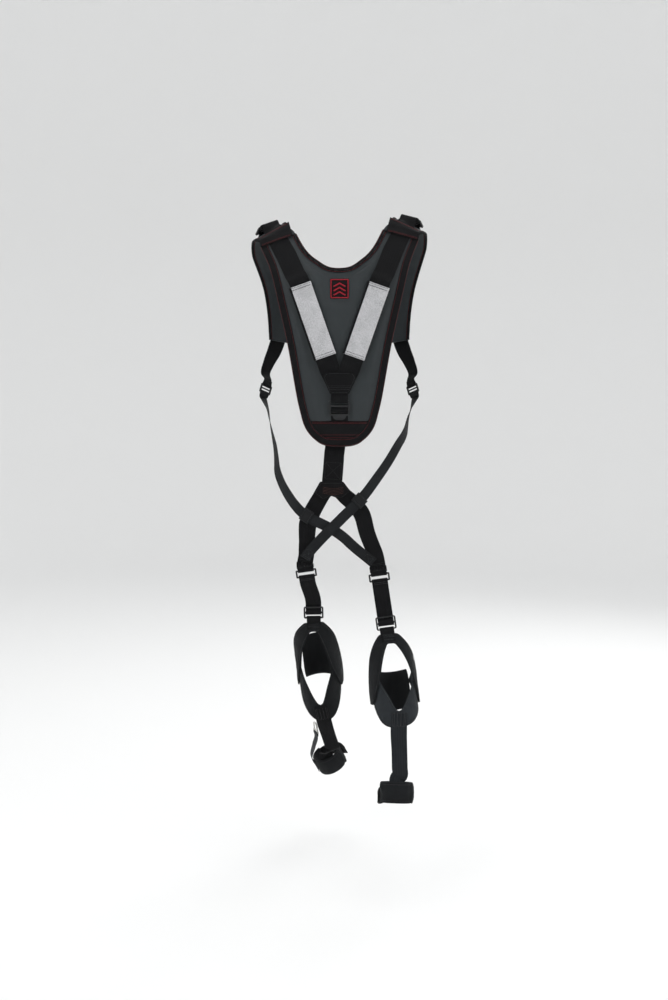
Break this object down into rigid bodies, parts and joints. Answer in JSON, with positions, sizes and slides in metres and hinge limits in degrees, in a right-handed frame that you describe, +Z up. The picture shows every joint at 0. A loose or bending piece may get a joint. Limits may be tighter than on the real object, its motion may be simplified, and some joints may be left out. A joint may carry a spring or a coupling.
{
  "type": "safety harness vest",
  "caption": "Worn load-transfer harness: padded back plate, shoulder straps with a chest buckle, crossing hip straps, thigh straps, open knee wraps and ankle cuffs.",
  "frame": {"origin": "middle of the line across the wearer's shoulders, level with the top of the back pad", "axes": "+Z up along the wearer's back, +Y the way the wearer faces, +X towards the wearer's right"},
  "size_m": [0.4276, 0.5003, 1.4115],
  "materials": {
    "cover_leatherette": "charcoal coated leatherette, fine grain, satin",
    "foam": "closed-cell foam, matt",
    "lining_mesh": "black spacer mesh, matt",
    "binding_tape": "black woven binding tape with a dark red edge stitch",
    "emblem": "red embroidered patch with a plain ring motif",
    "reflective_fabric": "silver reflective fabric, finely speckled",
    "plastic": "dark moulded nylon, semi-matt",
    "neoprene": "charcoal stretch fabric over neoprene, stitched edges",
    "elastic": "black woven elastic webbing",
    "keeper_tape": "charcoal tape, matt",
    "grey_elastic": "grey flat elastic",
    "steel": "plated steel, lightly worn",
    "hip_webbing": "charcoal fine twill webbing",
    "webbing": "black ribbed nylon webbing"
  },
  "bodies": {
    "root": {"back_pad_cover": "cover_leatherette", "back_pad_foam": "foam", "back_pad_lining": "lining_mesh", "pad_side_binding": "binding_tape", "pad_neck_binding": "binding_tape", "pad_lower_band": "binding_tape", "spine_strap": "webbing", "emblem_patch": "emblem", "junction_patch": "webbing", "junction_webbing": "webbing", "adjuster_tab": "webbing", "back_adjuster": "plastic", "shoulder_strap_left": "cover_leatherette", "shoulder_band_left": "binding_tape", "shoulder_buckle_left": "plastic", "side_strap_left": "webbing", "front_adjuster_left": "plastic", "shoulder_strap_right": "cover_leatherette", "shoulder_band_right": "binding_tape", "shoulder_buckle_right": "plastic", "side_strap_right": "webbing", "front_adjuster_right": "plastic", "back_webbing_left": "webbing", "back_webbing_right": "webbing", "chest_socket": "plastic", "chest_plug": "plastic", "chest_strap_left": "webbing", "chest_strap_right": "webbing", "seat_hub": "webbing", "leg_strap_left": "webbing", "leg_strap_right": "webbing", "hip_strap_left": "hip_webbing", "strap_keeper_left": "keeper_tape", "hip_strap_right": "hip_webbing", "strap_keeper_right": "keeper_tape"},
    "left_sleeve": {"reflective_sleeve_left": "reflective_fabric"},
    "right_sleeve": {"reflective_sleeve_right": "reflective_fabric"},
    "upper_prong": {"plug_prong_upper": "plastic"},
    "lower_prong": {"plug_prong_lower": "plastic"},
    "left_ring": {"thigh_ring_left": "plastic"},
    "left_elastic": {"thigh_elastic_left": "elastic", "knee_adjuster_left": "plastic"},
    "left_knee": {"knee_upper_band_left": "neoprene", "knee_lower_band_left": "neoprene", "knee_pad_left": "neoprene", "calf_strap_left": "webbing", "ankle_cuff_left": "neoprene", "shin_strap_left": "grey_elastic"},
    "left_flap": {"cuff_flap_left": "neoprene"},
    "hook": {"snap_hook": "steel"},
    "gate": {"hook_gate": "steel"},
    "right_ring": {"thigh_ring_right": "plastic"},
    "right_elastic": {"thigh_elastic_right": "elastic", "knee_adjuster_right": "plastic"},
    "right_knee": {"knee_upper_band_right": "neoprene", "knee_lower_band_right": "neoprene", "knee_pad_right": "neoprene", "calf_strap_right": "webbing", "ankle_cuff_right": "neoprene"},
    "right_flap": {"cuff_flap_right": "neoprene"}
  },
  "joints": [
    {"name": "left_sleeve_slide", "type": "slide", "parent": "root", "child": "left_sleeve", "axis": [0.331, -0.046, -0.9425], "range_m": [-0.01, 0.01]},
    {"name": "right_sleeve_slide", "type": "slide", "parent": "root", "child": "right_sleeve", "axis": [-0.331, -0.046, -0.9425], "range_m": [-0.01, 0.01]},
    {"name": "upper_prong_squeeze", "type": "hinge", "parent": "root", "child": "upper_prong", "pos_m": [0.0003, 0.241, -0.1442], "axis": [0, -1, 0], "range_deg": [0, 6], "stiffness_Nm_per_rad": 0.05},
    {"name": "lower_prong_squeeze", "type": "hinge", "parent": "root", "child": "lower_prong", "pos_m": [0.0003, 0.241, -0.1558], "axis": [0, -1, 0], "range_deg": [-6, 0], "stiffness_Nm_per_rad": 0.05},
    {"name": "left_ring_swing", "type": "hinge", "parent": "root", "child": "left_ring", "pos_m": [-0.08029, 0.02823, -0.81037], "axis": [0.9903, 0, 0.1392], "range_deg": [-20, 35]},
    {"name": "left_elastic_swing", "type": "hinge", "parent": "left_ring", "child": "left_elastic", "pos_m": [-0.07811, 0.03177, -0.82583], "axis": [0.9903, 0, 0.1392], "range_deg": [-25, 25]},
    {"name": "left_knee_swing", "type": "hinge", "parent": "left_elastic", "child": "left_knee", "pos_m": [-0.06217, 0.07091, -0.93253], "axis": [0.9998, 0, 0.0175], "range_deg": [-40, 15]},
    {"name": "left_cuff_flap", "type": "hinge", "parent": "left_knee", "child": "left_flap", "pos_m": [-0.05596, 0.28171, -1.34187], "axis": [-0.4306, -0.3004, 0.8511], "range_deg": [0, 70]},
    {"name": "snap_hook_swing", "type": "hinge", "parent": "left_knee", "child": "hook", "pos_m": [-0.0588, 0.205, -1.251], "axis": [-0.5711, 0.7621, 0.305], "range_deg": [-35, 35]},
    {"name": "hook_gate_open", "type": "hinge", "parent": "hook", "child": "gate", "pos_m": [-0.06299, 0.20552, -1.2405], "axis": [0.8167, 0.4918, 0.3019], "range_deg": [0, 25], "stiffness_Nm_per_rad": 0.002, "springref_deg": -20.05},
    {"name": "right_ring_swing", "type": "hinge", "parent": "root", "child": "right_ring", "pos_m": [0.0941, 0.01873, -0.81848], "axis": [0.9903, 0, 0.1392], "range_deg": [-20, 35]},
    {"name": "right_elastic_swing", "type": "hinge", "parent": "right_ring", "child": "right_elastic", "pos_m": [0.0963, 0.02127, -0.83412], "axis": [0.9903, 0, 0.1392], "range_deg": [-25, 25]},
    {"name": "right_knee_swing", "type": "hinge", "parent": "right_elastic", "child": "right_knee", "pos_m": [0.11265, -0.00298, -0.94685], "axis": [0.9903, 0, 0.1392], "range_deg": [-15, 40]},
    {"name": "right_cuff_flap", "type": "hinge", "parent": "right_knee", "child": "right_flap", "pos_m": [0.16147, -0.13182, -1.3038], "axis": [-0.0299, -0.2495, -0.9679], "range_deg": [0, 70]}
  ],
  "couplings": [
    {"joint": "lower_prong_squeeze", "follows": "upper_prong_squeeze", "ratio": -1}
  ]
}
